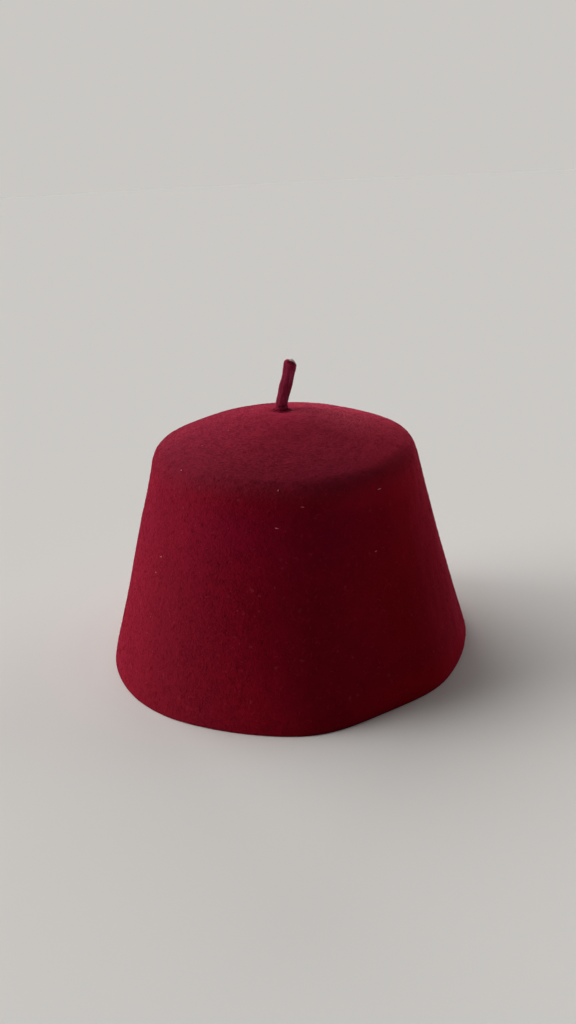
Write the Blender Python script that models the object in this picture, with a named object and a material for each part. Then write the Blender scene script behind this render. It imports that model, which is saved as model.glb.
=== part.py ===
"""A fez blocked from one piece of wool felt, with a rolled felt stalk standing in the middle of its crown.

Metres, +Z up. The rim lies on z = 0 and the hat's axis is the Z axis; -Y is the front.
The cap is an open shell: a section line is spun round the axis, and the rim is then flexed
inwards where the soft felt has been squeezed. The stalk passes through a small hole in the crown.
"""

import math

import bmesh
import bpy

# Driving dimensions of the cap.
RIM_RADIUS = 0.092
SHOULDER_RADIUS = 0.0624  # the sharp corner that the side and the crown would meet in
SHOULDER_HEIGHT = 0.1076
SHOULDER_ROUND = 0.012
CROWN_RISE = 0.0164  # middle of the crown above the sharp corner
CROWN_POWER = 1.6  # 2 would be an even dome; less draws it up towards the stalk
SIDE_HOLLOW = 0.00045  # how far the side sags in between rim and shoulder
WALL = 0.0025
EDGE_CUT = 0.0005  # worn corners of the rim's cut edge

# Where the soft rim is pushed in (or swells out, if negative), round the hat from +X towards +Y.
RIM_FLEXES = [
    {"place": "right side", "angle_deg": 335, "half_width_deg": 51, "pushed_in": 0.0048},
    {"place": "front right", "angle_deg": 298, "half_width_deg": 28, "pushed_in": 0.0046},
    {"place": "front", "angle_deg": 277, "half_width_deg": 18, "pushed_in": -0.00075},
    {"place": "front left", "angle_deg": 249, "half_width_deg": 20, "pushed_in": 0.0006},
    {"place": "far right", "angle_deg": 8, "half_width_deg": 18, "pushed_in": -0.0011},
]

# Driving dimensions of the stalk. It leans towards +X in an uneven line, and its end is a worn dome.
STALK_RADIUS = 0.0029
STALK_HOLE_GAP = 0.0003
STALK_HEAD_RADIUS = 0.007  # the flat end inside the hat, which keeps the stalk from pulling out
STALK_HEAD_THICKNESS = 0.0016
STALK_HEAD_CORNER = 0.0005
STALK_SECTIONS = [
    {"above_crown": 0.0000, "leans": 0.0000, "radius": STALK_RADIUS, "tilt_deg": 0},
    {"above_crown": 0.0034, "leans": 0.0005, "radius": 0.0029, "tilt_deg": 0},
    {"above_crown": 0.0073, "leans": 0.0015, "radius": 0.0030, "tilt_deg": 0},
    {"above_crown": 0.0100, "leans": 0.0023, "radius": 0.0031, "tilt_deg": 0},
    {"above_crown": 0.0131, "leans": 0.0032, "radius": 0.0029, "tilt_deg": 0},
    {"above_crown": 0.0160, "leans": 0.0040, "radius": 0.0028, "tilt_deg": 0},
    {"above_crown": 0.0189, "leans": 0.0047, "radius": 0.0030, "tilt_deg": 3},
    {"above_crown": 0.0206, "leans": 0.0050, "radius": 0.0030, "tilt_deg": 6},
    {"above_crown": 0.0218, "leans": 0.0052, "radius": 0.0027, "tilt_deg": 9},
    {"above_crown": 0.0228, "leans": 0.0053, "radius": 0.0021, "tilt_deg": 9},
    {"above_crown": 0.0234, "leans": 0.0053, "radius": 0.0011, "tilt_deg": 9},
]

# Felt colours, as linear red, green and blue.
CAP_COLOUR = (0.19, 0.008, 0.018)
STALK_COLOUR = (0.10, 0.008, 0.022)
FELT_ROUGHNESS = 0.95

# How finely the round shapes are divided.
SEGMENTS_ROUND_CAP = 96
SEGMENTS_ROUND_STALK = 16
OUTSIDE_STEPS = {"side": 6, "shoulder": 9, "crown": 8}
INSIDE_STEPS = {"side": 5, "shoulder": 6, "crown": 6}
SMOOTH_UNDER_DEG = 40
CROWN_SAMPLES = 400  # points on the crown's line that the shoulder's arc is tested against
HALVINGS = 40

SIDE_LEAN = math.atan2(RIM_RADIUS - SHOULDER_RADIUS, SHOULDER_HEIGHT)
HOLE_RADIUS = STALK_RADIUS + STALK_HOLE_GAP


def crown_height(radius):
    """Height of the crown's outside at this distance from the axis."""
    return SHOULDER_HEIGHT + CROWN_RISE * (1 - (radius / SHOULDER_RADIUS) ** CROWN_POWER)


def crown_normal_angle(radius):
    """Direction that the crown's outside faces there, as an angle up from the horizontal."""
    slope = CROWN_RISE * CROWN_POWER / SHOULDER_RADIUS * (radius / SHOULDER_RADIUS) ** (CROWN_POWER - 1)
    return math.atan2(1, slope)


def shoulder_round():
    """The arc that rounds the shoulder: its centre, and the radius at which the crown leaves it.

    The centre lies SHOULDER_ROUND inside the straight side. It is slid up the side until the
    crown's line is just as far away, which halving the interval finds.
    """
    crown_radii = [SHOULDER_RADIUS * step / CROWN_SAMPLES for step in range(CROWN_SAMPLES + 1)]
    low, high = 0, 1  # shares of the way up the side
    for _ in range(HALVINGS):
        share = (low + high) / 2
        side_r = RIM_RADIUS + share * (SHOULDER_RADIUS - RIM_RADIUS)
        centre_r = side_r - SHOULDER_ROUND * math.cos(SIDE_LEAN)
        centre_z = share * SHOULDER_HEIGHT - SHOULDER_ROUND * math.sin(SIDE_LEAN)
        distances = [math.hypot(r - centre_r, crown_height(r) - centre_z) for r in crown_radii]
        nearest = min(distances)
        if nearest > SHOULDER_ROUND:
            low = share
        else:
            high = share
    return centre_r, centre_z, crown_radii[distances.index(nearest)]


SHOULDER_CENTRE_R, SHOULDER_CENTRE_Z, CROWN_EDGE_RADIUS = shoulder_round()


def section_line(inset, steps):
    """Half a cross-section of the cap, from the rim to the stalk's hole, this far inside its outside."""
    side_top = SHOULDER_CENTRE_Z + (SHOULDER_ROUND - inset) * math.sin(SIDE_LEAN)
    points = []
    for step in range(steps["side"]):
        height = EDGE_CUT + (side_top - EDGE_CUT) * step / steps["side"]
        share = height / side_top
        radius = RIM_RADIUS - height * math.tan(SIDE_LEAN) - inset / math.cos(SIDE_LEAN)
        points.append((radius - 4 * SIDE_HOLLOW * share * (1 - share), height))
    crown_angle = crown_normal_angle(CROWN_EDGE_RADIUS)
    for step in range(steps["shoulder"] + 1):
        angle = SIDE_LEAN + (crown_angle - SIDE_LEAN) * step / steps["shoulder"]
        points.append(
            (
                SHOULDER_CENTRE_R + (SHOULDER_ROUND - inset) * math.cos(angle),
                SHOULDER_CENTRE_Z + (SHOULDER_ROUND - inset) * math.sin(angle),
            )
        )
    for step in range(1, steps["crown"]):
        radius = CROWN_EDGE_RADIUS + (HOLE_RADIUS - CROWN_EDGE_RADIUS) * step / steps["crown"]
        angle = crown_normal_angle(radius)
        points.append((radius - inset * math.cos(angle), crown_height(radius) - inset * math.sin(angle)))
    points.append((HOLE_RADIUS, crown_height(HOLE_RADIUS) - inset))
    return points


def rim_edge():
    """The cut edge of the rim, flat on z = 0, from its inner corner to its outer one."""
    inner = RIM_RADIUS - WALL / math.cos(SIDE_LEAN)
    return [(inner + EDGE_CUT, 0), (RIM_RADIUS - EDGE_CUT, 0)]


def pushed_in(angle):
    """How far the rim is pushed in at this angle round the hat: each flex is a squared cosine."""
    total = 0
    for flex in RIM_FLEXES:
        away = (math.degrees(angle) - flex["angle_deg"] + 180) % 360 - 180
        if abs(away) < flex["half_width_deg"]:
            total += flex["pushed_in"] * math.cos(math.pi / 2 * away / flex["half_width_deg"]) ** 2
    return total


def flex_rim(points):
    """Moves the points in by the rim's flexes, which fade evenly up to the stiff round shoulder."""
    for point in points:
        fade = max(0, 1 - point.co.z / SHOULDER_CENTRE_Z)
        radius = math.hypot(point.co.x, point.co.y)
        scale = (radius - pushed_in(math.atan2(point.co.y, point.co.x)) * fade) / radius
        point.co.x *= scale
        point.co.y *= scale


def felt(name, colour, roughness):
    """A plain matt material."""
    material = bpy.data.materials.new(name)
    material.use_nodes = True
    shader = material.node_tree.nodes["Principled BSDF"]
    shader.inputs["Base Color"].default_value = (*colour, 1)
    shader.inputs["Roughness"].default_value = roughness
    shader.inputs["Metallic"].default_value = 0
    return material


def add_object(name, shape, material):
    """Turns a bmesh into a named object in the scene, shaded smooth but for its real edges."""
    bmesh.ops.recalc_face_normals(shape, faces=shape.faces)
    mesh = bpy.data.meshes.new(name)
    shape.to_mesh(mesh)
    shape.free()
    mesh.materials.append(material)
    mesh.shade_smooth()
    mesh.set_sharp_from_angle(angle=math.radians(SMOOTH_UNDER_DEG))
    bpy.context.scene.collection.objects.link(bpy.data.objects.new(name, mesh))


def make_cap():
    """The felt cap: the closed section of its wall, spun round the axis and flexed at the rim."""
    outside = section_line(0, OUTSIDE_STEPS)
    inside = section_line(WALL, INSIDE_STEPS)
    section = rim_edge() + outside + inside[::-1]
    shape = bmesh.new()
    points = [shape.verts.new((radius, 0, height)) for radius, height in section]
    lines = [shape.edges.new((a, b)) for a, b in zip(points, points[1:] + points[:1])]
    bmesh.ops.spin(
        shape,
        geom=points + lines,
        cent=(0, 0, 0),
        axis=(0, 0, 1),
        angle=2 * math.pi,
        steps=SEGMENTS_ROUND_CAP,
        use_merge=True,
    )
    flex_rim(shape.verts)
    add_object("cap", shape, felt("cap_felt", CAP_COLOUR, FELT_ROUGHNESS))


def stalk_rings():
    """Rings from the stalk's flat head to its tip, each as (centre x, centre z, radius, slope)."""
    head_top = crown_height(STALK_HEAD_RADIUS) - WALL - STALK_HOLE_GAP
    neck_bottom = crown_height(STALK_RADIUS) - WALL - STALK_HOLE_GAP
    head_bottom = head_top - STALK_HEAD_THICKNESS
    rings = [
        (0, head_bottom, STALK_HEAD_RADIUS - STALK_HEAD_CORNER, 0),
        (0, head_bottom + STALK_HEAD_CORNER, STALK_HEAD_RADIUS, 0),
        (0, head_top - STALK_HEAD_CORNER, STALK_HEAD_RADIUS, 0),
        (0, head_top, STALK_HEAD_RADIUS - STALK_HEAD_CORNER, 0),
        (0, neck_bottom, STALK_RADIUS, 0),
    ]
    for row in STALK_SECTIONS:
        slope = math.tan(math.radians(row["tilt_deg"]))
        rings.append((row["leans"], crown_height(0) + row["above_crown"], row["radius"], slope))
    return rings


def make_stalk():
    """The stalk: its rings joined by quads, and closed by a flat face at each end."""
    shape = bmesh.new()
    loops = []
    for centre_x, centre_z, radius, slope in stalk_rings():
        loop = []
        for step in range(SEGMENTS_ROUND_STALK):
            angle = 2 * math.pi * step / SEGMENTS_ROUND_STALK
            x, y = radius * math.cos(angle), radius * math.sin(angle)
            loop.append(shape.verts.new((centre_x + x, y, centre_z - slope * x)))
        loops.append(loop)
    for lower, upper in zip(loops, loops[1:]):
        for step in range(SEGMENTS_ROUND_STALK):
            after = (step + 1) % SEGMENTS_ROUND_STALK
            shape.faces.new((lower[step], lower[after], upper[after], upper[step]))
    shape.faces.new(loops[0][::-1])
    shape.faces.new(loops[-1])
    add_object("stalk", shape, felt("stalk_felt", STALK_COLOUR, FELT_ROUGHNESS))


for leftover in list(bpy.data.objects):
    bpy.data.objects.remove(leftover, do_unlink=True)
make_cap()
make_stalk()
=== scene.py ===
import math

import bpy
import numpy as np
from mathutils import Matrix, Vector


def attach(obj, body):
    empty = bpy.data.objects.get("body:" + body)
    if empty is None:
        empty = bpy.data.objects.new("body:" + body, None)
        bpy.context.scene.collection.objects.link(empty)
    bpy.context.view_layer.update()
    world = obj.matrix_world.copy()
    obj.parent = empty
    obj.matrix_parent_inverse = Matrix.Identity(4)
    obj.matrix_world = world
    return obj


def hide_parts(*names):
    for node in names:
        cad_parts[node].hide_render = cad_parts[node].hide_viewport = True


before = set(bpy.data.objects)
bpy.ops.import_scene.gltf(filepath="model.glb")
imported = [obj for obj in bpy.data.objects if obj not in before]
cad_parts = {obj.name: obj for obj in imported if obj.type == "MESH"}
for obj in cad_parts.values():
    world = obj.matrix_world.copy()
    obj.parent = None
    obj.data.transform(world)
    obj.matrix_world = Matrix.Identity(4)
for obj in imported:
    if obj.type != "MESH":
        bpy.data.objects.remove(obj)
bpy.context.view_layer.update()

# A red felt fez that stands on its rim, with a short rolled stalk in the middle of its crown.
# Metres, +Z up, the hat's axis on Z and its rim on z = 0. -Y faces the viewer, +X is on the right.

bpy.context.scene.view_settings.view_transform = "Standard"

photoView = {
    "place": (0.0, -0.4662, 0.2438),
    "lookDownDeg": 20.41,
    "lookRightDeg": 0.06,
    "tiltDeg": -2.92,  # held a little askew
    "lensMm": 35.16,  # for a frame whose long side is 36 mm
}


def placeCamera(values):
    lens = bpy.data.cameras.new("photoCamera")
    lens.lens = values["lensMm"]
    lens.sensor_width = 36
    camera = bpy.data.objects.new("photoCamera", lens)
    turned = (
        Matrix.Rotation(-math.radians(values["lookRightDeg"]), 4, "Z")
        @ Matrix.Rotation(math.radians(90 - values["lookDownDeg"]), 4, "X")
        @ Matrix.Rotation(math.radians(values["tiltDeg"]), 4, "Z")
    )
    camera.matrix_world = Matrix.Translation(values["place"]) @ turned
    bpy.context.scene.collection.objects.link(camera)
    bpy.context.scene.camera = camera


placeCamera(photoView)
print("fez: camera placed")


def meshFromArrays(name, points, faces):
    # points is (count, 3), faces is (count, corners) of point numbers, all faces with as many corners
    mesh = bpy.data.meshes.new(name)
    count, corners = faces.shape
    mesh.vertices.add(len(points))
    mesh.vertices.foreach_set("co", points.astype(np.float32).ravel())
    mesh.loops.add(count * corners)
    mesh.loops.foreach_set("vertex_index", faces.astype(np.int32).ravel())
    mesh.polygons.add(count)
    mesh.polygons.foreach_set("loop_start", np.arange(count, dtype=np.int32) * corners)
    mesh.update(calc_edges=True)
    mesh.shade_smooth()
    piece = bpy.data.objects.new(name, mesh)
    bpy.context.scene.collection.objects.link(piece)
    return piece


def gridFaces(rows, columns, closedRows):
    # Quads between neighbouring rows of a grid whose columns close up into rings
    row = np.arange(rows if closedRows else rows - 1)[:, None]
    column = np.arange(columns)[None, :]
    nextRow, nextColumn = (row + 1) % rows, (column + 1) % columns
    corners = [row * columns + column, row * columns + nextColumn]
    corners += [nextRow * columns + nextColumn, nextRow * columns + column]
    return np.stack(np.broadcast_arrays(*corners), axis=-1).reshape(-1, 4)


def gridNormals(points):
    # Cross product of the two directions between a grid point's neighbours, made one long
    around = np.roll(points, -1, axis=1) - np.roll(points, 1, axis=1)
    along = np.roll(points, -1, axis=0) - np.roll(points, 1, axis=0)
    normals = np.cross(around, along)
    return normals / np.maximum(np.linalg.norm(normals, axis=-1, keepdims=True), 1e-12)


def addAttribute(piece, name, kind, values):
    attribute = piece.data.attributes.new(name, kind, "POINT")
    field = "vector" if kind == "FLOAT_VECTOR" else "value"
    attribute.data.foreach_set(field, np.asarray(values, np.float32).ravel())


def softWaves(points, row):
    # Sum of sine waves that run through space in random directions; long waves are higher than short
    # ones in proportion to their length, and the sum's root mean square is the row's height
    random = np.random.default_rng(row["seed"])
    directions = random.normal(size=(row["count"], 3))
    directions /= np.linalg.norm(directions, axis=1, keepdims=True)
    lengths = random.uniform(row["shortest"], row["longest"], row["count"])
    phases = random.uniform(0, 2 * np.pi, row["count"])
    heights = lengths / np.sqrt((lengths**2).sum() / 2)
    turns = points @ (directions * (2 * np.pi / lengths)[:, None]).T
    return (np.sin(turns + phases) @ heights) * row["height"]


def namedColumns(names, rows):
    return dict(zip(names, np.array(rows).T))


def smoothStep(low, high, values):
    # 0 at low and beyond, 1 at high and beyond, and 3t^2 - 2t^3 between; low may be the larger
    share = np.clip((values - low) / (high - low), 0, 1)
    return share * share * (3 - 2 * share)


def ridesOnHat(piece, material):
    piece.data.materials.append(material)
    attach(piece, "root")


def addNode(tree, kind, settings=None, **inputs):
    # Makes a node, sets its properties, and sets or links its inputs; input names have _ for spaces
    made = tree.nodes.new("ShaderNode" + kind)
    for key, value in (settings or {}).items():
        setattr(made, key, value)
    for key, value in inputs.items():
        setInput(tree, made.inputs[key.replace("_", " ")], value)
    return made


def setInput(tree, socket, value):
    if isinstance(value, bpy.types.NodeSocket):
        tree.links.new(value, socket)
    else:
        socket.default_value = value


def sums(tree, operation, *values):
    made = tree.nodes.new("ShaderNodeMath")
    made.operation = operation
    for socket, value in zip(made.inputs, values):
        setInput(tree, socket, value)
    return made.outputs[0]


def vectorSums(tree, operation, *values):
    made = tree.nodes.new("ShaderNodeVectorMath")
    made.operation = operation
    for socket, value in zip(made.inputs, values):
        setInput(tree, socket, value)
    return made.outputs["Value" if operation == "LENGTH" else "Vector"]


def blendColours(tree, share, first, second):
    # first where the share is 0, and second where it is 1
    made = tree.nodes.new("ShaderNodeMix")
    made.data_type = "RGBA"
    colours = [socket for socket in made.inputs if socket.type == "RGBA"]
    setInput(tree, made.inputs[0], share)
    setInput(tree, colours[0], first)
    setInput(tree, colours[1], second)
    return next(socket for socket in made.outputs if socket.type == "RGBA")


def dyeAndPaintedLight(tree, mask, strength, colour, laidColour):
    # Lays a dye, or painted light or shade, over a colour where the mask is, at this strength
    return blendColours(tree, sums(tree, "MULTIPLY", mask, strength), colour, laidColour)


def blendValues(tree, share, first, second):
    # first + share * (second - first)
    return sums(tree, "MULTIPLY_ADD", share, sums(tree, "SUBTRACT", second, first), first)


def ramp(tree, value, start, full):
    # 0 at start and before it, 1 at full and past it, and smooth between; start may be the larger
    made = addNode(tree, "MapRange", {"interpolation_type": "SMOOTHSTEP"}, Value=value)
    made.inputs["From Min"].default_value = start
    made.inputs["From Max"].default_value = full
    return made.outputs["Result"]


def startGroup(name, inputs, outputs):
    group = bpy.data.node_groups.new(name, "ShaderNodeTree")
    for label, kind, value in inputs:
        socket = group.interface.new_socket(label, in_out="INPUT", socket_type="NodeSocket" + kind)
        if value is not None:
            socket.default_value = value
    for label, kind in outputs:
        group.interface.new_socket(label, in_out="OUTPUT", socket_type="NodeSocket" + kind)
    given = group.nodes.new("NodeGroupInput").outputs
    wanted = group.nodes.new("NodeGroupOutput").inputs
    return group, given, wanted


def placeGroup(tree, group, **inputs):
    made = tree.nodes.new("ShaderNodeGroup")
    made.node_tree = group
    for key, value in inputs.items():
        setInput(tree, made.inputs[key.replace("_", " ")], value)
    return made.outputs


def makeHatDirections():
    # Coordinates for threads. Side, where they run up and down, is the point moved level onto one cylinder.
    # Crown, where they run round, is the distance from the axis, then x and then y.
    group, given, wanted = startGroup(
        "hatDirections",
        [("Point", "Vector", None)],
        [("Side", "Vector"), ("Crown", "Vector"), ("Radius", "Float")],
    )
    parts = addNode(group, "SeparateXYZ", Vector=given["Point"]).outputs
    flat = addNode(group, "CombineXYZ", X=parts["X"], Y=parts["Y"]).outputs[0]
    radius = vectorSums(group, "LENGTH", flat)
    direction = addNode(group, "VectorMath", {"operation": "NORMALIZE"})
    group.links.new(flat, direction.inputs[0])
    middleRadius = (0.078, 0.078, 0.078)
    onRing = vectorSums(group, "MULTIPLY", direction.outputs["Vector"], middleRadius)
    roundParts = addNode(group, "SeparateXYZ", Vector=onRing).outputs
    side = addNode(group, "CombineXYZ", X=roundParts["X"], Y=roundParts["Y"], Z=parts["Z"]).outputs[0]
    group.links.new(side, wanted["Side"])
    crown = addNode(group, "CombineXYZ", X=radius, Y=parts["X"], Z=parts["Y"]).outputs[0]
    group.links.new(crown, wanted["Crown"])
    group.links.new(radius, wanted["Radius"])
    return group


# Scales are of noises in the stretched coordinates. A band is the narrower, the sharper it is.
threadNoise = {
    "bendScale": 0.45,
    "broad": {"scale": 0.8, "detail": 1.5, "sharpness": 7.0},
    "fine": {"scale": 1.8, "detail": 1.2, "sharpness": 6.0},
    "fineShare": 0.42,  # of the fine bands among the broad ones
    "fineHeight": 0.5,
    "cellScale": 0.55,  # each cell may hold one fleck
    "fleckEdges": (0.28, 0.12),
    "fleckRarity": (0.82, 0.95),  # only cells whose random number is above these do
}


def makeFeltThreads():
    # Worm-like threads: bands where a stretched and warped noise passes its middle value, at two widths
    group, given, wanted = startGroup(
        "feltThreads",
        [("Along", "Vector", None), ("Across Scale", "Vector", (1500, 1500, 300)), ("Wander", "Float", 0.6)],
        [("Threads", "Float"), ("Height", "Float"), ("Flecks", "Float")],
    )
    place = vectorSums(group, "MULTIPLY", given["Along"], given["Across Scale"])
    bend = addNode(group, "TexNoise", Vector=place, Scale=threadNoise["bendScale"], Detail=1.0)
    bent = vectorSums(group, "SUBTRACT", bend.outputs["Color"], (0.5, 0.5, 0.5))
    wander = addNode(group, "VectorMath", {"operation": "SCALE"}, Scale=given["Wander"])
    group.links.new(bent, wander.inputs[0])
    moved = vectorSums(group, "ADD", place, wander.outputs["Vector"])
    bands = []
    for row in (threadNoise["broad"], threadNoise["fine"]):
        made = addNode(group, "TexNoise", Vector=moved, Scale=row["scale"], Detail=row["detail"])
        noise = made.outputs["Fac"]
        away = sums(group, "ABSOLUTE", sums(group, "SUBTRACT", noise, 0.5))
        band = sums(group, "MULTIPLY_ADD", away, -row["sharpness"], 1.0)
        bands.append(sums(group, "MAXIMUM", band, 0.0))
    threads = blendValues(group, threadNoise["fineShare"], *bands)
    group.links.new(threads, wanted["Threads"])
    # the last noise, the fine one, also raises the felt a little
    height = sums(group, "MULTIPLY_ADD", noise, threadNoise["fineHeight"], threads)
    group.links.new(height, wanted["Height"])
    cells = addNode(group, "TexVoronoi", Vector=moved, Scale=threadNoise["cellScale"])
    dot = ramp(group, cells.outputs["Distance"], *threadNoise["fleckEdges"])
    number = addNode(group, "SeparateColor", Color=cells.outputs["Color"]).outputs[0]
    rare = ramp(group, number, *threadNoise["fleckRarity"])
    group.links.new(sums(group, "MULTIPLY", dot, rare), wanted["Flecks"])
    return group


def makeDyePatches():
    # Uneven dye: soft patches some centimetres across, and a close cloudiness a few millimetres across
    group, given, wanted = startGroup(
        "dyePatches", [("Point", "Vector", None)], [("Patches", "Float"), ("Clouds", "Float")]
    )
    wide = addNode(group, "TexNoise", Vector=given["Point"], Scale=28.0, Detail=2.0)
    close = addNode(group, "TexNoise", Vector=given["Point"], Scale=190.0, Detail=3.0, Roughness=0.6)
    group.links.new(ramp(group, wide.outputs["Fac"], 0.35, 0.65), wanted["Patches"])
    group.links.new(ramp(group, close.outputs["Fac"], 0.3, 0.7), wanted["Clouds"])
    return group


hatDirections = makeHatDirections()
feltThreads = makeFeltThreads()
dyePatches = makeDyePatches()


def startMaterial(name):
    material = bpy.data.materials.new(name)
    material.use_nodes = True
    return material, material.node_tree, material.node_tree.nodes["Principled BSDF"]


# The cap is one felt shell.
cap = {
    "rimRadius": 0.092,
    "shoulderRadius": 0.0624,  # of the sharp corner that the side and the crown would meet in
    "shoulderHeight": 0.1076,
    "shoulderRound": 0.012,
    "crownRise": 0.0164,
    "crownPower": 1.6,
    "sideHollow": 0.00045,
    "wall": 0.0025,
    "edgeRound": 0.0006,
    "holeRadius": 0.0032,
    "sag": 0.0034,  # in front the shoulder hangs lower down the side
    "sagAngleDeg": 294,
    "sagHalfWidthDeg": 84,
    "sagHeights": (0.06, 0.104),  # it starts and is full at these heights and distances from the axis
    "sagRadii": (0.015, 0.055),
    "waveHeights": (0.0006, 0.006),  # the felt's waves start over the cut edge
    "dimpleDepth": 0.0016,  # the crown is drawn down a little round the stalk
    "dimpleRadius": 0.009,
    "dimpleReach": 0.035,
    "collarRadius": 0.0039,  # the felt is puckered into a low ring round the stalk's foot
    "collarWidth": 0.0006,
    "collarHeight": 0.00045,
    "puckers": 7,
    "puckerShare": 0.3,  # of the ring's height
    "puckerTurn": 1.3,
    "lobes": 3,
    "lobeShare": 0.2,
    "pointsAround": 440,
    "leastStep": 0.00002,
}

# How many points each part of the wall's outline has. A gather above 1 crowds them towards the hole.
outsideSteps = {"edge": 6, "side": 92, "shoulder": 18, "crown": 58, "gather": 1.8}
insideSteps = {"edge": 5, "side": 26, "shoulder": 8, "crown": 18, "gather": 1.2}

# Broad hand-pressed waves of the felt, and finer ones.
capWaves = [
    {"shortest": 0.022, "longest": 0.06, "count": 26, "height": 0.00016, "seed": 7},
    {"shortest": 0.005, "longest": 0.012, "count": 60, "height": 0.000035, "seed": 8},
]

# Where the soft rim is pushed in, or swells out if the depth is negative: the degrees round the hat from +X
# towards +Y, the half width in degrees, and the depth.
capFlexes = [
    (335, 51, 0.0048),  # right side
    (298, 28, 0.0046),  # front right
    (277, 18, -0.00075),  # front
    (249, 20, 0.0006),  # front left
    (221, 26, -0.0008),  # left front
    (8, 18, -0.0011),  # far right
]

# A shallow dent on the left, under the shoulder.
capDent = {"angleDeg": 192, "halfWidthDeg": 34, "up": 0.091, "halfHeight": 0.026, "pushedIn": 0.0006}

sideLean = math.atan2(cap["rimRadius"] - cap["shoulderRadius"], cap["shoulderHeight"])


def crownHeight(radius):
    # The crown falls from its middle as a power of the distance from the axis
    share = (radius / cap["shoulderRadius"]) ** cap["crownPower"]
    return cap["shoulderHeight"] + cap["crownRise"] * (1 - share)


def crownFacing(radius):
    # The angle above the horizontal of the direction that the crown's outside faces
    share = (radius / cap["shoulderRadius"]) ** (cap["crownPower"] - 1)
    return np.arctan2(1, cap["crownRise"] * cap["crownPower"] / cap["shoulderRadius"] * share)


def findShoulder():
    # The centre of the shoulder's arc lies shoulderRound inside the side's line; halving finds how far up
    # that line it is just as near to the crown's line. Returns it and the radius where the crown begins.
    samples, halvings = 2001, 40
    radii = np.linspace(0, cap["shoulderRadius"], samples)
    low, high = 0.5, 1.0
    for _ in range(halvings):
        share = (low + high) / 2
        across = cap["rimRadius"] + share * (cap["shoulderRadius"] - cap["rimRadius"])
        across -= cap["shoulderRound"] * math.cos(sideLean)
        up = share * cap["shoulderHeight"] - cap["shoulderRound"] * math.sin(sideLean)
        away = np.hypot(radii - across, crownHeight(radii) - up)
        if away.min() > cap["shoulderRound"]:
            low = share
        else:
            high = share
    return across, up, radii[away.argmin()]


shoulderAcross, shoulderUp, crownEdge = findShoulder()


def arc(centre, radius, fromAngle, toAngle, steps):
    angles = np.linspace(fromAngle, toAngle, steps)
    return centre[0] + radius * np.cos(angles), centre[1] + radius * np.sin(angles)


def sideLine(inset, fromHeight, steps):
    # The side's line, this far inside its outside. It is hollowed by a parabola, most of all half way up.
    top = shoulderUp + (cap["shoulderRound"] - inset) * math.sin(sideLean)
    height = np.linspace(fromHeight, top, steps)
    share = height / top
    across = cap["rimRadius"] - height * math.tan(sideLean) - inset / math.cos(sideLean)
    return across - 4 * cap["sideHollow"] * share * (1 - share), height


def crownLine(inset, steps, gather):
    # The crown from the shoulder to the hole; gather crowds the points towards the hole
    share = 1 - (1 - np.linspace(0, 1, steps)) ** gather
    radius = crownEdge + (cap["holeRadius"] - crownEdge) * share
    facing = crownFacing(radius)
    return radius - inset * np.cos(facing), crownHeight(radius) - inset * np.sin(facing)


def wallLine():
    # The wall's closed outline: its outside from the rim over the crown to the hole, then its inside back
    small, wall, quarter = cap["edgeRound"], cap["wall"], math.pi / 2
    crownTurn = crownFacing(crownEdge)
    nearRim = cap["rimRadius"] - small * math.tan(sideLean)
    inner, outer = [nearRim - inset / math.cos(sideLean) for inset in (wall - small, small)]
    shoulder = (shoulderAcross, shoulderUp)
    outside = [
        arc((outer, small), small, -quarter, sideLean, outsideSteps["edge"]),
        sideLine(0, small * (1 + math.sin(sideLean)), outsideSteps["side"]),
        arc(shoulder, cap["shoulderRound"], sideLean, crownTurn, outsideSteps["shoulder"]),
        crownLine(0, outsideSteps["crown"], outsideSteps["gather"]),
    ]
    inside = [
        crownLine(wall, insideSteps["crown"], insideSteps["gather"]),
        arc(shoulder, cap["shoulderRound"] - wall, sideLean, crownTurn, insideSteps["shoulder"]),
        sideLine(wall, small * (1 - math.sin(sideLean)), insideSteps["side"]),
    ]
    rim = arc((inner, small), small, sideLean - 2 * quarter, -quarter, insideSteps["edge"])
    line = np.concatenate(outside + [np.array(part)[:, ::-1] for part in inside] + [rim], axis=1)
    # where two parts meet, leaves out a point that all but lies on the next: it would fold the felt
    kept = np.hypot(*(np.roll(line, -1, axis=1) - line)) > cap["leastStep"]
    return line[:, kept]


def degreesFrom(angles, middleDeg):
    # How far angles in degrees lie from a middle, from -180 to 180
    return (angles - middleDeg + 180) % 360 - 180


def hump(away):
    # A squared cosine: 1 where away is 0, and nothing where it is 1 and beyond, on either side
    return np.where(np.abs(away) < 1, np.cos(np.pi / 2 * away) ** 2, 0)


def pushedIn(angles):
    # Sum of the flexes, each a hump that falls to nothing half its width away
    total = np.zeros_like(angles)
    for middleDeg, halfWidthDeg, depth in capFlexes:
        total += depth * hump(degreesFrom(np.degrees(angles), middleDeg) / halfWidthDeg)
    return total


def capPoints(across, up, angles):
    # The section carried round the axis: radius less the rim's flex, which fades evenly up to the shoulder.
    # The shoulder's sag slides it down the side's line, and fades over the crown and half way down the side.
    here = hump(degreesFrom(np.degrees(angles), cap["sagAngleDeg"]) / cap["sagHalfWidthDeg"])
    sag = cap["sag"] * here * smoothStep(*cap["sagHeights"], up) * smoothStep(*cap["sagRadii"], across)
    radius = across - pushedIn(angles) * np.maximum(0, 1 - up / shoulderUp) + sag * math.tan(sideLean)
    return np.stack([radius * np.cos(angles), radius * np.sin(angles), up - sag], axis=-1)


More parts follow.
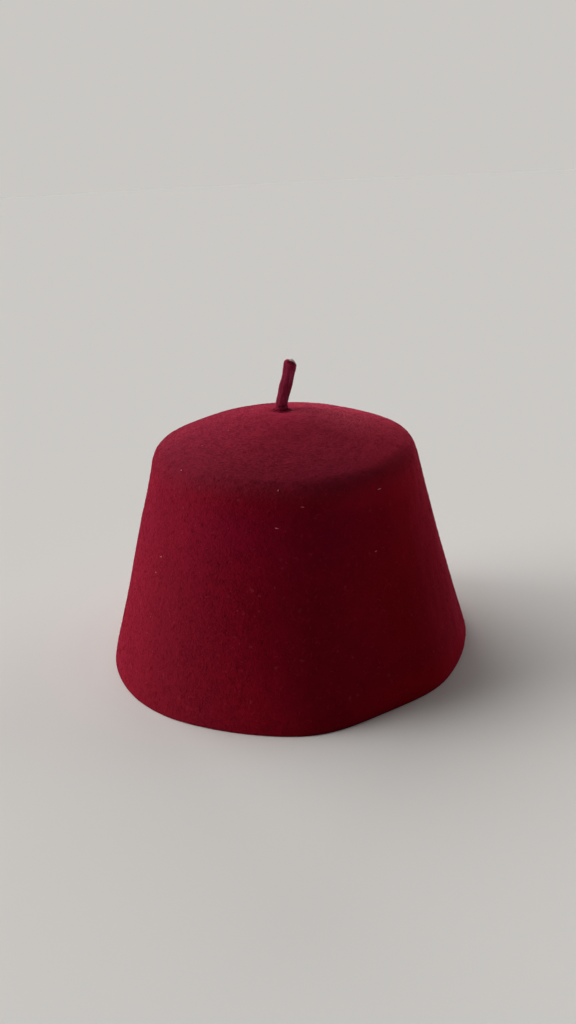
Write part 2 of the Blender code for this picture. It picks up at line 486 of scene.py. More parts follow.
def feltSwell(points):
    # How far the felt stands proud of its even shape: its waves, which fade to nothing at the rim's cut
    # edge, less the dent, which is a hump both round the hat and up it
    flat = points.reshape(-1, 3)
    waves = sum(softWaves(flat, row) for row in capWaves) * smoothStep(*cap["waveHeights"], flat[:, 2])
    angles = np.degrees(np.arctan2(flat[:, 1], flat[:, 0]))
    around = degreesFrom(angles, capDent["angleDeg"]) / capDent["halfWidthDeg"]
    up = (flat[:, 2] - capDent["up"]) / capDent["halfHeight"]
    return (waves - capDent["pushedIn"] * hump(around) * hump(up)).reshape(points.shape[:-1])


def centreSwell(points):
    # Round the stalk: a bell-shaped dimple, and in it a bell-shaped ring whose height varies round it
    radius = np.hypot(points[..., 0], points[..., 1])
    angle = np.arctan2(points[..., 1], points[..., 0])
    away = (radius - cap["collarRadius"]) / cap["collarWidth"]
    puckers = 1 + cap["puckerShare"] * np.sin(cap["puckers"] * angle + cap["puckerTurn"])
    puckers += cap["lobeShare"] * np.sin(cap["lobes"] * angle)
    dimple = cap["dimpleDepth"] * np.exp(-((radius / cap["dimpleRadius"]) ** 2))
    return cap["collarHeight"] * np.exp(-away * away) * puckers - dimple


def onFelt(even, outward):
    # Moves points of the even shape to the real felt; the dimple takes both faces of the crown down with it
    points = even + outward * feltSwell(even)[..., None]
    onCrown = even[..., 2] > crownHeight(cap["dimpleReach"])
    points[..., 2] += np.where(onCrown, centreSwell(even), 0)
    return points


# Across Scale is how fine the threads' noise is along each of their coordinates, Wander how far it is bent.
capFelt = {
    "sideThreads": {"Across_Scale": (510, 510, 500), "Wander": 1.5},
    "crownThreads": {"Across_Scale": (800, 340, 340), "Wander": 1.2},
    "crownHeights": (0.1, 0.115),  # between these heights the side's felt turns into the crown's
    "napPlaces": (0.015, -0.045),  # between these x the nap goes from smoothest to roughest, on the left
    "smoothest": 0.35,
    "roughestMore": 0.55,
    "crownContrast": 0.6,
    "crownRelief": 0.48,
    "sagPlaces": (-0.04, 0.03),  # between these x the lower edge of the crown's duller pink, partly painted sheen, comes down with the shoulder
    "paintedLightShares": (1.3, 0.3),  # painted light on the threads, over that between them, and between them
    "raisedEdges": (0.4, 0.8),
    "frontShadePlaces": (-0.045, -0.062),  # y
    "frontShadeShares": (0.6, 0.4),  # painted shade in front, over that everywhere, and everywhere
    "gapColour": (0.165, 0.0014, 0.008, 1),
    "threadColour": (0.275, 0.0035, 0.0138, 1),
    "bumps": (1.0, 0.00019),  # their strength and depth
    "sheenTint": (1.0, 0.06, 0.165, 1),
}

# Dyes, and painted light and shade, one over the other in this order: a strength, a colour and where it
# lies. That is on a texture, in a ball of a middle and a reach, and along ramps, which start at their first
# place and are full at their second.
capDyesAndPaintedLight = [
    (0.35, (0.165, 0.0008, 0.0165, 1), {"on": "patches"}),
    (0.3, (0.12, 0.0006, 0.0062, 1), {"on": "clouds"}),
    (0.16, (0.5, 0.1, 0.13, 1), {"on": "flecks"}),
    # painted sheen: the left side is a little pinker, as the low light from the left makes it
    (0.5, (0.21, 0.0125, 0.027, 1), {"ramps": [("x", -0.005, -0.065)]}),
    # the crown and the shoulder are a duller pink, partly painted sheen of the low light; painted light
    # makes the crown paler right of its left edge
    (0.4, (0.13, 0.021, 0.04, 1), {"ramps": [("overSag", 0.0965, 0.1095)]}),
    (0.3, (0.52, 0.03, 0.06, 1), {"on": "crown", "ramps": [("x", -0.04, 0.012), ("y", -0.062, -0.03)]}),
    # painted light, most of all in a patch right of the stalk, and there on the threads more than between
    # them
    (0.38, (0.6, 0.085, 0.12, 1), {"on": "paintedLightThreads", "ball": ((0.03, 0.008, 0.117), 0.036)}),
    # painted sheen on the crown's raised threads
    (0.25, (0.5, 0.035, 0.07, 1), {"on": "sheenOnRaisedThreads"}),
    # painted shade: under the shoulder the side is a darker plum, most of all in front, where it turns from
    # the lamps
    (0.3, (0.125, 0.0012, 0.026, 1),
     {"on": "shadeMostInFront", "ramps": [("x", 0.055, 0.02), ("z", 0.055, 0.085), ("z", 0.102, 0.09)]}),
    # painted light and shade: one paler patch under the shoulder on the front left, and two darker ones, low
    # in front and right
    (0.2, (0.34, 0.012, 0.03, 1), {"ball": ((-0.04, -0.057, 0.084), 0.026)}),
    (0.3, (0.1, 0.0004, 0.007, 1), {"ball": ((-0.007, -0.085, 0.045), 0.038)}),
    (0.35, (0.1, 0.0002, 0.002, 1), {"ball": ((0.054, -0.05, 0.045), 0.034)}),
    # painted light: a paler band along the lower edge of the shoulder's right half
    (0.3, (0.34, 0.006, 0.022, 1), {"ramps": [("z", 0.087, 0.095), ("z", 0.106, 0.1), ("x", 0.01, 0.036)]}),
    # painted light: the right side is a purer red, and paler by the rim, standing for warm light bounced up
    # onto it
    (0.35, (0.22, 0.0002, 0.001, 1), {"ramps": [("x", 0.02, 0.06)]}),
    (0.32, (0.48, 0.003, 0.01, 1), {"ramps": [("z", 0.018, 0.003), ("x", 0.01, 0.045), ("y", 0.03, -0.02)]}),
    # painted shade: the felt is dark round the stalk's foot and on the rim's cut edge, where shadow falls
    (0.8, (0.08, 0.003, 0.016, 1), {"ramps": [("radius", 0.006, 0.0038)]}),
    (0.5, (0.06, 0.001, 0.006, 1), {"ramps": [("z", 0.0012, 0.0003)]}),
]


def dyeAndLightMask(tree, where, point, textures, ways):
    # Product of the texture, the ball, which is full up to a sixth of its reach, and the ramps
    shares = [textures[where["on"]]] if "on" in where else []
    if "ball" in where:
        middle, reach = where["ball"]
        away = vectorSums(tree, "LENGTH", vectorSums(tree, "SUBTRACT", point, middle))
        shares.append(ramp(tree, away, reach, reach / 6))
    shares += [ramp(tree, ways[way], start, full) for way, start, full in where.get("ramps", [])]
    mask = shares[0]
    for share in shares[1:]:
        mask = sums(tree, "MULTIPLY", mask, share)
    return mask


def finishFelt(tree, shader, colour, threads, relief, bumpStrength, bumpDepth):
    # Threads are a little less rough than the gaps between them
    setInput(tree, shader.inputs["Base Color"], colour)
    setInput(tree, shader.inputs["Roughness"], sums(tree, "MULTIPLY_ADD", threads, -0.12, 0.97))
    bump = addNode(tree, "Bump", Height=relief, Strength=bumpStrength, Distance=bumpDepth)
    setInput(tree, shader.inputs["Normal"], bump.outputs["Normal"])


def makeCapFelt():
    material, tree, shader = startMaterial("capFelt")
    point = addNode(tree, "TexCoord").outputs["Object"]
    hat = placeGroup(tree, hatDirections, Point=point)
    onSide = placeGroup(tree, feltThreads, Along=hat["Side"], **capFelt["sideThreads"])
    onCrown = placeGroup(tree, feltThreads, Along=hat["Crown"], **capFelt["crownThreads"])
    place = addNode(tree, "SeparateXYZ", Vector=point).outputs
    crown = ramp(tree, place["Z"], *capFelt["crownHeights"])
    left = ramp(tree, place["X"], *capFelt["napPlaces"])
    rough = sums(tree, "MULTIPLY_ADD", left, capFelt["roughestMore"], capFelt["smoothest"])
    sideThreads = blendValues(tree, rough, 0.5, onSide["Threads"])
    crownThreads = blendValues(tree, capFelt["crownContrast"], 0.5, onCrown["Threads"])
    threads = blendValues(tree, crown, sideThreads, crownThreads)
    sideRelief = sums(tree, "MULTIPLY", onSide["Height"], rough)
    crownRelief = sums(tree, "MULTIPLY", onCrown["Height"], capFelt["crownRelief"])
    relief = blendValues(tree, crown, sideRelief, crownRelief)
    sagging = ramp(tree, place["X"], *capFelt["sagPlaces"])
    raised = ramp(tree, onCrown["Threads"], *capFelt["raisedEdges"])
    front = ramp(tree, place["Y"], *capFelt["frontShadePlaces"])
    uneven = placeGroup(tree, dyePatches, Point=point)
    ways = {
        "x": place["X"],
        "y": place["Y"],
        "z": place["Z"],
        "radius": hat["Radius"],
        "overSag": sums(tree, "MULTIPLY_ADD", sagging, cap["sag"], place["Z"]),
    }
    textures = {
        "patches": uneven["Patches"],
        "clouds": uneven["Clouds"],
        "flecks": blendValues(tree, crown, onSide["Flecks"], onCrown["Flecks"]),
        "crown": crown,
        "paintedLightThreads": sums(tree, "MULTIPLY_ADD", onCrown["Threads"], *capFelt["paintedLightShares"]),
        "sheenOnRaisedThreads": sums(tree, "MULTIPLY", crown, raised),
        "shadeMostInFront": sums(tree, "MULTIPLY_ADD", front, *capFelt["frontShadeShares"]),
    }
    colour = blendColours(tree, threads, capFelt["gapColour"], capFelt["threadColour"])
    for strength, laidColour, where in capDyesAndPaintedLight:
        mask = dyeAndLightMask(tree, where, point, textures, ways)
        colour = dyeAndPaintedLight(tree, mask, strength, colour, laidColour)
    finishFelt(tree, shader, colour, threads, relief, *capFelt["bumps"])
    shader.inputs["Specular IOR Level"].default_value = 0.02
    # the short nap catches the light that comes in low
    shader.inputs["Sheen Weight"].default_value = 0.56
    shader.inputs["Sheen Roughness"].default_value = 0.35
    shader.inputs["Sheen Tint"].default_value = capFelt["sheenTint"]
    return material


def makeCap():
    across, up = wallLine()
    angles = np.arange(cap["pointsAround"]) * 2 * np.pi / cap["pointsAround"]
    even = capPoints(across[:, None], up[:, None], angles[None, :])
    points = onFelt(even, gridNormals(even))
    faces = gridFaces(len(across), len(angles), True)
    piece = meshFromArrays("cap_felt_shell", points.reshape(-1, 3), faces)
    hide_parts("cap")
    ridesOnHat(piece, makeCapFelt())
    return points


capGrid = makeCap()
print("fez: cap made")


def gridPlaces(grid):
    # How far up its first column each row of a grid lies, and how long each row's ring is
    steps = np.linalg.norm(np.diff(grid[:, 0], axis=0), axis=-1)
    rings = np.linalg.norm(grid - np.roll(grid, 1, axis=1), axis=-1).sum(axis=1)
    return np.concatenate([[0], np.cumsum(steps)]), rings


def onGrid(grid, along, column):
    # The points of a grid surface this far up it and this many columns round it, each in proportion
    # between the four grid points about it, and the way the surface faces there
    places, _ = gridPlaces(grid)
    row = np.interp(along, places, np.arange(len(places)))
    low = np.clip(np.floor(row).astype(int), 0, len(places) - 2)
    left = np.floor(column).astype(int)
    up, right = (row - low)[..., None], (column - left)[..., None]
    left, following = left % grid.shape[1], (left + 1) % grid.shape[1]
    a, b, c, d = grid[low, left], grid[low, following], grid[low + 1, left], grid[low + 1, following]
    place = (a * (1 - right) + b * right) * (1 - up) + (c * (1 - right) + d * right) * up
    outward = np.cross((b - a) * (1 - up) + (d - c) * up, (c - a) * (1 - right) + (d - b) * right)
    return place, outward / np.linalg.norm(outward, axis=-1, keepdims=True)


def fibrePiece(name, paths, outward, halfWidths, shades):
    # Closed three-sided spikes. Each path's ends are a spike's tips; round each point between them lie three
    # corners across the path, at the spike's half width times the sine of how far along the path it is.
    count, steps = paths.shape[:2]
    along = np.gradient(paths, axis=1)
    along /= np.linalg.norm(along, axis=-1, keepdims=True)
    sideways = np.cross(along, outward)
    sideways /= np.linalg.norm(sideways, axis=-1, keepdims=True)
    raised = np.cross(sideways, along)
    thick = halfWidths[:, None] * np.sin(np.pi * np.linspace(0, 1, steps))
    corners = []
    for turn in np.pi / 2 + np.arange(3) * 2 * np.pi / 3:
        corners.append(paths + thick[..., None] * (np.cos(turn) * sideways + np.sin(turn) * raised))
    rings = np.stack(corners, axis=2)[:, 1:-1].reshape(count, -1, 3)
    points = np.concatenate([paths[:, :1], rings, paths[:, -1:]], axis=1)
    corner = np.arange(3)
    following = (corner + 1) % 3
    first = np.stack([np.zeros(3, int), corner + 1, following + 1], axis=-1)
    quads = gridFaces(steps - 2, 3, False) + 1
    tip = 3 * (steps - 2) + 1
    last = np.stack([np.full(3, tip), tip - 3 + following, tip - 3 + corner], axis=-1)
    one = np.concatenate([first, quads[:, [0, 3, 2]], quads[:, [0, 2, 1]], last])
    faces = one[None] + (np.arange(count) * (tip + 1))[:, None, None]
    piece = meshFromArrays(name, points.reshape(-1, 3), faces.reshape(-1, 3))
    addAttribute(piece, "fibreShade", "FLOAT", np.repeat(shades, tip + 1))
    return piece


def makeFibreFelt(name, dark, pale):
    # One dyed colour per fibre, between a dark and a pale one
    material, tree, shader = startMaterial(name)
    shade = addNode(tree, "Attribute", {"attribute_name": "fibreShade"}).outputs["Fac"]
    setInput(tree, shader.inputs["Base Color"], blendColours(tree, shade, dark, pale))
    shader.inputs["Roughness"].default_value = 0.9
    shader.inputs["Specular IOR Level"].default_value = 0.05
    return material


# What all fibres share.
fibreHabits = {
    "tries": 6,  # places drawn for each root
    "crowdDeg": (200, 45),  # the middle of the crowd and its spread
    "leastRaised": 0.3,
    "bendsUp": 1.4,  # power of the way along
    "widths": (0.6, 1.3),
    "shades": (1.3, 2.6),
}


def makeFibres(fibres, grid, material):
    # Roots are spread evenly over the surface: the longer a ring, the more of them it gets. A path turns
    # off its way by a little more the farther it goes, which makes it an arc.
    random = np.random.default_rng(fibres["seed"])
    places, rings = gridPlaces(grid)
    first, last = fibres["between"]
    tries = random.uniform(first, last, fibreHabits["tries"] * fibres["count"])
    chances = np.interp(tries, places, rings) / rings.max()
    root = tries[random.uniform(0, 1, len(tries)) < chances][: fibres["count"]]
    count = len(root)
    crowd = random.uniform(0, 1, count) < fibres["crowded"]
    crowdedPlace = random.normal(*fibreHabits["crowdDeg"], count)
    around = np.where(crowd, crowdedPlace, random.uniform(0, 360, count)) % 360
    around *= grid.shape[1] / 360
    length = random.uniform(*fibres["lengths"], count)
    way = np.radians(random.normal(fibres["turnDeg"], fibres["spreadDeg"], count))
    share = np.linspace(0, 1, fibres["steps"])
    heading = way[:, None] + random.normal(0, fibres["curl"], count)[:, None] * (share - 0.5)
    gone = length[:, None] * share
    columnWidth = np.interp(root, places, rings)[:, None] / grid.shape[1]
    along = np.clip(root[:, None] + gone * np.cos(heading), first, last)
    paths, outward = onGrid(grid, along, around[:, None] + gone * np.sin(heading) / columnWidth)
    raised = random.uniform(fibreHabits["leastRaised"], 1, count)[:, None] * fibres["raisedTo"]
    raised = raised * share ** fibreHabits["bendsUp"]
    paths = paths + outward * (fibres["lift"] + raised)[..., None]
    widths = fibres["halfWidth"] * random.uniform(*fibreHabits["widths"], count)
    shades = fibres["palest"] * random.beta(*fibreHabits["shades"], count)
    ridesOnHat(fibrePiece(fibres["name"], paths, outward, widths, shades), material)


# Wisps that lie on the cap's felt, up and down the side and round the crown, and short hairs that stand
# off it. Distances are up the felt from the rim, turnDeg is a fibre's way off that, and crowded is the
# share of the fibres that are gathered on the rougher left.
capFibres = [
    {"name": "cap_side_wisps", "count": 10400, "between": (0.001, 0.114), "turnDeg": 0, "spreadDeg": 50,
     "lengths": (0.0009, 0.0030), "curl": 2.2, "halfWidth": 0.00014, "lift": -0.00001, "raisedTo": 0,
     "crowded": 0.6, "steps": 5, "palest": 0.7, "seed": 41},
    {"name": "cap_crown_wisps", "count": 7600, "between": (0.108, 0.172), "turnDeg": 90, "spreadDeg": 35,
     "lengths": (0.0010, 0.0036), "curl": 1.4, "halfWidth": 0.00009, "lift": -0.00003, "raisedTo": 0,
     "crowded": 0.4, "steps": 5, "palest": 0.65, "seed": 42},
    {"name": "cap_hairs", "count": 15800, "between": (0.001, 0.172), "turnDeg": 0, "spreadDeg": 90,
     "lengths": (0.0003, 0.0009), "curl": 0.9, "halfWidth": 0.000018, "lift": -0.00004, "raisedTo": 0.00045,
     "crowded": 0, "steps": 4, "palest": 1.0, "seed": 43},
]

# Pale lint caught in the felt, where the photo shows it.
capLint = namedColumns(
    ("angleDeg", "upFelt", "turnDeg", "length", "halfWidth"),
    [
        (217, 0.0708, 20, 0.0009, 0.0003),
        (220, 0.112, 60, 0.001, 0.00024),
        (309, 0.1041, 90, 0.0024, 0.00024),
        (266, 0.0932, 100, 0.0018, 0.0002),
        (267, 0.11, 10, 0.0012, 0.0002),
        (303, 0.075, 80, 0.0015, 0.0002),
        (215, 0.0625, 90, 0.0013, 0.00022),
        (276, 0.1026, 100, 0.0014, 0.0002),
        (214, 0.129, 40, 0.001, 0.00012),
        (216, 0.0415, 80, 0.0009, 0.00014),
        (215, 0.144, 90, 0.0011, 0.00012),
        (253, 0.0405, 0, 0.0008, 0.00012),
        (252, 0.055, 120, 0.0008, 0.00012),
    ],
)

# From a fibre's darkest colour to its palest.
fibreColours = {
    "cap": ((0.19, 0.0015, 0.012, 1), (0.68, 0.04, 0.085, 1)),
    "lint": ((0.55, 0.14, 0.17, 1), (0.95, 0.4, 0.4, 1)),
    "stalk": ((0.09, 0.003, 0.011, 1), (0.36, 0.07, 0.1, 1)),
}


def makeLint(lint, grid):
    # Each is one short straight spike that lies on the felt, lifted by a share of its half width
    steps, lift = 6, 0.6
    share = np.linspace(-0.5, 0.5, steps)
    columns = {key: values[:, None] for key, values in lint.items()}
    turn = np.radians(columns["turnDeg"])
    gone = columns["length"] * share
    along = columns["upFelt"] + gone * np.cos(turn)
    places, rings = gridPlaces(grid)
    columnWidth = np.interp(columns["upFelt"], places, rings) / grid.shape[1]
    around = columns["angleDeg"] / 360 * grid.shape[1] + gone * np.sin(turn) / columnWidth
    paths, outward = onGrid(grid, along, around)
    widths = lint["halfWidth"]
    paths = paths + outward * widths[:, None, None] * lift
    piece = fibrePiece("cap_lint", paths, outward, widths, np.linspace(1, 0, len(widths)))
    ridesOnHat(piece, makeFibreFelt("lint", *fibreColours["lint"]))


capFibreFelt = makeFibreFelt("capFibre", *fibreColours["cap"])
for fibres in capFibres:
    makeFibres(fibres, capGrid, capFibreFelt)
makeLint(capLint, capGrid)
print("fez: cap fibres made")


# The stalk is a rolled felt stem that goes through the crown.
stalk = {
    "headRadius": 0.007,
    "headThickness": 0.0016,
    "headCorner": 0.0005,
    "holeGap": 0.0003,
    "pointsAround": 112,
    "ringsUp": 190,
    "twistTurns": 0.35,
    "ridgeSwing": 0.8,  # radians that a ridge winds to and fro
    "swingLength": 0.004,
    "swellHeights": (0, 0.002),  # the ridges grow over these heights and these radii
    "swellRadii": (0.0002, 0.0012),
    "endHeights": (0.0207, 0.0215),  # here the stem's end rounds over
    "coreRight": 0.0008,  # the pale core's middle, from the tip's
    "coreDeep": 0.0001,
    "coreRadius": 0.002,
    "coreEdges": (1.15, 0.75),
    "coreSunk": 0.0001,
    "lipRadius": 0.0021,  # the dark skin stands up beside the core, on the left
    "lipWidth": 0.0006,
    "lipHeight": 0.0003,
    "lipSides": (0, -0.6),
    "creaseUp": 0.0011,  # a crease, darkened by painted shade, pinches the stem here, over the roll at its foot
    "creaseHalf": 0.0006,
    "creaseDepth": 0.0003,
    "creaseDeg": 250,  # it is deepest at the front left, where it shows
    "creaseVaries": 0.4,
    "footRoll": 0.0003,
    "rollBelow": 2.6,  # in half widths of the crease
    # over these sizes of the cosine round the stem, painted shade darkens its left and right
    "shadedFlanks": (0.4, 1),
    "seed": 21,
}

# Ridges of the rolled felt: how many run up the stem, and how high they are.
stalkRidges = [(2, 0.00010), (3, 0.00008), (5, 0.00006), (9, 0.000035), (14, 0.00003)]

# Sections up the stem: each is level but for its tilt, which drops it towards +X.
stalkSections = namedColumns(
    ("aboveCrown", "leans", "radius", "tiltDeg"),
    [
        (0, 0, 0.0029, 0),
        (0.0034, 0.0005, 0.0029, 0),
        (0.0073, 0.0015, 0.003, 0),
        (0.01, 0.0023, 0.0031, 0),
        (0.0131, 0.0032, 0.0029, 0),
        (0.016, 0.004, 0.0028, 2),
        (0.0189, 0.0047, 0.003, 6),
        (0.0204, 0.005, 0.0029, 13),
        (0.0212, 0.0051, 0.0027, 17),
        (0.0221, 0.0053, 0.0020, 9),
        (0.0227, 0.0055, 0.0012, 4),
        (0.0231, 0.0056, 0.0005, 1),
        (0.0232, 0.0056, 0.00001, 0),
    ],
)


def smoothThrough(at, places, values):
    # Cubic between each two given points, whose slope at a point is that between its neighbours
    slopes = np.gradient(values, places)
    index = np.clip(np.searchsorted(places, at) - 1, 0, len(places) - 2)
    width = places[index + 1] - places[index]
    share = (at - places[index]) / width
    rise = values[index + 1] - values[index]
    a = slopes[index] * width - rise
    b = -slopes[index + 1] * width + rise
    return values[index] + share * rise + share * (1 - share) * (a * (1 - share) + b * share)


def stalkRings():
    # Rings from the flat head under the crown to the tip, as arrays of centre x, height, radius and slope.
    # Above the crown they are read from a smooth curve through the sections, evenly along its outline.
    top = float(crownHeight(0))
    corner, flat = stalk["headCorner"], stalk["headRadius"] - stalk["headCorner"]
    stemRadius = stalkSections["radius"][0]
    headTop = float(crownHeight(stalk["headRadius"])) - cap["wall"] - stalk["holeGap"]
    neckBottom = float(crownHeight(stemRadius)) - cap["wall"] - stalk["holeGap"]
    headBottom = headTop - stalk["headThickness"]
    low = arc((flat, headBottom + corner), corner, -math.pi / 2, 0, 5)
    high = arc((flat, headTop - corner), corner, 0, math.pi / 2, 5)
    under = np.linspace(0, 1, 8)[:-1]
    above = np.linspace(0, 1, 8)[1:]
    neck = np.linspace(neckBottom, top, 14)[1:-1]
    hiddenRadius = [flat * np.maximum(under, 0.002), low[0], high[0]]
    hiddenRadius += [flat + (stemRadius - flat) * above, np.full(len(neck), stemRadius)]
    hiddenUp = [np.full(len(under), headBottom), low[1], high[1]]
    hiddenUp += [headTop + (neckBottom - headTop) * above, neck]
    run = np.hypot(np.diff(stalkSections["aboveCrown"]), np.diff(stalkSections["radius"]))
    places = np.concatenate([[0], np.cumsum(run)])
    at = np.linspace(0, places[-1], stalk["ringsUp"])
    stem = {key: smoothThrough(at, places, values) for key, values in stalkSections.items()}
    hidden = np.zeros(sum(len(part) for part in hiddenUp))
    x = np.concatenate([hidden, stem["leans"]])
    z = np.concatenate([*hiddenUp, top + stem["aboveCrown"]])
    radius = np.concatenate([*hiddenRadius, np.maximum(stem["radius"], 0.00001)])
    slope = np.concatenate([hidden, np.tan(np.radians(stem["tiltDeg"]))])
    return x, z, radius, slope


def stalkSwell(angles, along):
    # Sum of the ridges: sine waves round the stem that wind slowly round it and swing to and fro
    random = np.random.default_rng(stalk["seed"])
    wind = 2 * np.pi * stalk["twistTurns"] * along[:, None] / stalkSections["aboveCrown"][-1]
    total = np.zeros((len(along), len(angles)))
    for ridges, height in stalkRidges:
        phase, drift = random.uniform(0, 2 * np.pi, 2)
        swing = np.sin(along[:, None] / stalk["swingLength"] + drift) * stalk["ridgeSwing"]
        total += height * np.sin(ridges * (angles[None, :] + wind) + phase + swing)
    return total


stalkFelt = {
    "threads": {"Across_Scale": (2600, 2600, 330), "Wander": 0.7},
    "gapColour": (0.1, 0.003, 0.012, 1),
    "threadColour": (0.24, 0.014, 0.036, 1),
    "cloudColour": (0.13, 0.004, 0.016, 1),
    "paintedShadeColour": (0.015, 0.0006, 0.002, 1),
    "coreColour": (0.17, 0.12, 0.1, 1),
    "cloudStrength": 0.4,
    "paintedShadeStrength": 0.8,
    "coreEdges": (0.35, 0.75),
    "raggedBy": 0.5,  # how much farther the core runs out along the threads than between them
    "bumps": (0.9, 0.00014),
}


def makeStalkFelt():
    material, tree, shader = startMaterial("stalkFelt")
    point = addNode(tree, "TexCoord").outputs["Object"]
    along = addNode(tree, "Attribute", {"attribute_name": "alongStem"}).outputs["Vector"]
    core = addNode(tree, "Attribute", {"attribute_name": "paleCore"}).outputs["Fac"]
    shadeAndSkin = addNode(tree, "Attribute", {"attribute_name": "shadeAndDarkSkin"}).outputs["Fac"]
    felt = placeGroup(tree, feltThreads, Along=along, **stalkFelt["threads"])
    threads = felt["Threads"]
    clouds = placeGroup(tree, dyePatches, Point=point)["Clouds"]
    colour = blendColours(tree, threads, stalkFelt["gapColour"], stalkFelt["threadColour"])
    colour = dyeAndPaintedLight(tree, clouds, stalkFelt["cloudStrength"], colour, stalkFelt["cloudColour"])
    # painted shade in the crease and on the flanks, and the darker skin round the core
    colour = dyeAndPaintedLight(tree, shadeAndSkin, stalkFelt["paintedShadeStrength"], colour, stalkFelt["paintedShadeColour"])
    lessCore = sums(tree, "SUBTRACT", core, stalkFelt["raggedBy"] / 2)
    ragged = sums(tree, "MULTIPLY_ADD", threads, stalkFelt["raggedBy"], lessCore)
    pale = ramp(tree, ragged, *stalkFelt["coreEdges"])
    colour = blendColours(tree, pale, colour, stalkFelt["coreColour"])
    finishFelt(tree, shader, colour, threads, felt["Height"], *stalkFelt["bumps"])
    shader.inputs["Specular IOR Level"].default_value = 0.04
    # light goes some way into the thin, loose felt and comes out on its dark side
    shader.inputs["Subsurface Weight"].default_value = 1.0
    shader.inputs["Subsurface Radius"].default_value = (1, 1, 1)
    shader.inputs["Subsurface Scale"].default_value = 0.02
    return material


def stalkPoints(angles):
    # Each ring is a circle on its own centre, tilted by its slope and swollen by the rolled felt's ridges.
    # On the rounded end the core is sunk a little and the skin beside it stands up as a thin lip.
    x, z, radius, slope = stalkRings()
    above = z - float(crownHeight(0))
    stem = smoothStep(*stalk["swellHeights"], above) * smoothStep(*stalk["swellRadii"], radius)
    fromCrease = (above - stalk["creaseUp"]) / stalk["creaseHalf"]
    varies = stalk["creaseVaries"]
    deepest = 1 - varies + varies * np.cos(angles - math.radians(stalk["creaseDeg"]))
    crease = np.exp(-(fromCrease**2))[:, None] * deepest
    roll = np.exp(-((fromCrease + stalk["rollBelow"]) ** 2))[:, None] * stalk["footRoll"]
    reach = radius[:, None] + stalkSwell(angles, np.maximum(0, above)) * stem[:, None]
    reach += roll - crease * stalk["creaseDepth"]
    right, deep = reach * np.cos(angles), reach * np.sin(angles)
    end = smoothStep(*stalk["endHeights"], above)[:, None]
    away = np.hypot(right - stalk["coreRight"], deep - stalk["coreDeep"]) / stalk["coreRadius"]
    core = end * smoothStep(*stalk["coreEdges"], away)
    fromLip = (np.hypot(right, deep) - stalk["lipRadius"]) / stalk["lipWidth"]
    lip = np.exp(-(fromLip**2)) * smoothStep(*stalk["lipSides"], np.cos(angles))
    up = z[:, None] - slope[:, None] * right + end * lip * stalk["lipHeight"] - core * stalk["coreSunk"]
    # painted shade darkens the stem's left and right and its crease; the skin round the core is darker,
    # partly its own colour and partly painted shade
    shadedFlanks = smoothStep(*stalk["shadedFlanks"], np.abs(np.cos(angles)))
    dark = np.maximum(np.maximum(crease, shadedFlanks), end * (1 - core))
    return np.stack([x[:, None] + right, deep, up], axis=-1), core, dark


def makeStalk():
    angles = np.arange(stalk["pointsAround"]) * 2 * np.pi / stalk["pointsAround"]
    points, core, dark = stalkPoints(angles)
    rows, count = core.shape
    flat = points.reshape(-1, 3)
    ends = np.array([flat[:count].mean(axis=0), flat[-count:].mean(axis=0)])
    # each end closes on its own middle point
    around = np.arange(count)
    after = (around + 1) % count
    last = len(flat) - count
    quads = gridFaces(rows, count, False)
    closing = [
        np.stack([after, around, np.full_like(around, len(flat))], axis=-1),
        np.stack([last + around, last + after, np.full_like(around, len(flat) + 1)], axis=-1),
    ]
    triangles = np.concatenate([quads[:, [0, 1, 2]], quads[:, [0, 2, 3]], *closing])
    piece = meshFromArrays("stalk_felt_stem", np.concatenate([flat, ends]), triangles)
    # how far round and up the stem each point lies, for threads that run up it
    stemRadius = stalkSections["radius"][0]
    height = points[..., 2].mean(axis=1)[:, None]
    along = np.broadcast_arrays(stemRadius * np.cos(angles), stemRadius * np.sin(angles), height)
    along = np.stack(along, axis=-1).reshape(-1, 3)
    addAttribute(piece, "alongStem", "FLOAT_VECTOR", np.concatenate([along, along[:1], along[-1:]]))
    addAttribute(piece, "paleCore", "FLOAT", np.concatenate([core.ravel(), [0, core[-1].mean()]]))
    addAttribute(piece, "shadeAndDarkSkin", "FLOAT", np.concatenate([dark.ravel(), [0, 0]]))
    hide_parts("stalk")
    ridesOnHat(piece, makeStalkFelt())
    return points


stalkFibres = [
    {"name": "stalk_wisps", "count": 700, "between": (0.0005, 0.0235), "turnDeg": 0, "spreadDeg": 16,
     "lengths": (0.0012, 0.0036), "curl": 0.5, "halfWidth": 0.00007, "lift": -0.00001, "raisedTo": 0,
     "crowded": 0, "steps": 5, "palest": 0.8, "seed": 51},
    {"name": "stalk_hairs", "count": 1500, "between": (0.0005, 0.026), "turnDeg": 0, "spreadDeg": 90,
     "lengths": (0.0003, 0.0009), "curl": 0.9, "halfWidth": 0.000016, "lift": -0.00003, "raisedTo": 0.0005,
     "crowded": 0, "steps": 4, "palest": 1.0, "seed": 52},
]

stalkGrid = makeStalk()
stemGrid = stalkGrid[stalkGrid[..., 2].min(axis=1) > crownHeight(0) - cap["dimpleDepth"]]
stalkFibreFelt = makeFibreFelt("stalkFibre", *fibreColours["stalk"])
for fibres in stalkFibres:
    makeFibres(fibres, stemGrid, stalkFibreFelt)
print("fez: stalk made")


studio = {
    "floorRadius": 6.0,
    "floorSides": 96,
    "floorColour": (0.85, 0.825, 0.79, 1),
}

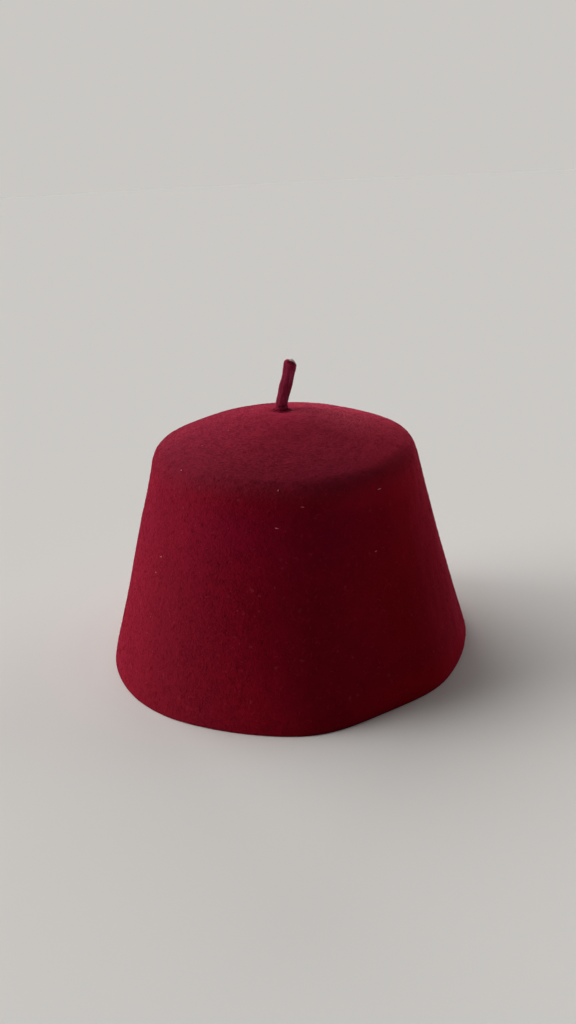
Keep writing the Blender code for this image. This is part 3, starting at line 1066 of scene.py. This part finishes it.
# Each lamp is a wide, far disc of light: its name, the degrees round from +X, on the right, towards +Y,
# behind, the degrees up, its width in degrees and its strength.
lamps = [
    ("left", 180, 14, 40, 1.9),
    ("leftBack", 150, 42, 60, 1.72),
    ("back", 90, 14, 44, 1.0),
    ("right", 30, 18, 60, 0.72),
    ("top", 0, 88, 80, 0.12),
]


def makeFloor():
    # A flat round floor: one middle point and one ring, joined by triangles that face up
    ring = np.arange(studio["floorSides"])
    angles = ring * 2 * np.pi / len(ring)
    edge = studio["floorRadius"] * np.stack([np.cos(angles), np.sin(angles), np.zeros(len(ring))], axis=-1)
    faces = np.stack([ring, (ring + 1) % len(ring), np.full(len(ring), len(ring))], axis=-1)
    floor = meshFromArrays("floor", np.concatenate([edge, [[0, 0, 0]]]), faces)
    material, _, shader = startMaterial("paleFloor")
    shader.inputs["Base Color"].default_value = studio["floorColour"]
    shader.inputs["Roughness"].default_value = 1.0
    shader.inputs["Specular IOR Level"].default_value = 0.0
    floor.data.materials.append(material)


def makeLamps():
    # Returns the light that a flat white floor sends back, so that the backdrop can match the floor
    onFloor = 0
    for name, aroundDeg, upDeg, wideDeg, strength in lamps:
        around, up = math.radians(aroundDeg), math.radians(upDeg)
        way = Vector((math.cos(up) * math.cos(around), math.cos(up) * math.sin(around), math.sin(up)))
        light = bpy.data.lights.new(name, "SUN")
        light.angle = math.radians(wideDeg)
        light.energy = strength
        lamp = bpy.data.objects.new(name, light)
        lamp.rotation_mode = "QUATERNION"
        lamp.rotation_quaternion = way.to_track_quat("Z", "Y")
        bpy.context.scene.collection.objects.link(lamp)
        onFloor += strength * math.sin(up) / math.pi
    return onFloor


def makeBackdrop(brightness):
    # What lies past the floor is as pale as the floor, and lights nothing itself
    backdrop = bpy.data.worlds.new("backdrop")
    backdrop.use_nodes = True
    tree = backdrop.node_tree
    seen = addNode(tree, "LightPath").outputs["Is Camera Ray"]
    shader = tree.nodes["Background"]
    shader.inputs["Color"].default_value = studio["floorColour"]
    setInput(tree, shader.inputs["Strength"], sums(tree, "MULTIPLY", seen, brightness))
    bpy.context.scene.world = backdrop


makeFloor()
makeBackdrop(makeLamps())
print("fez: floor and light made")
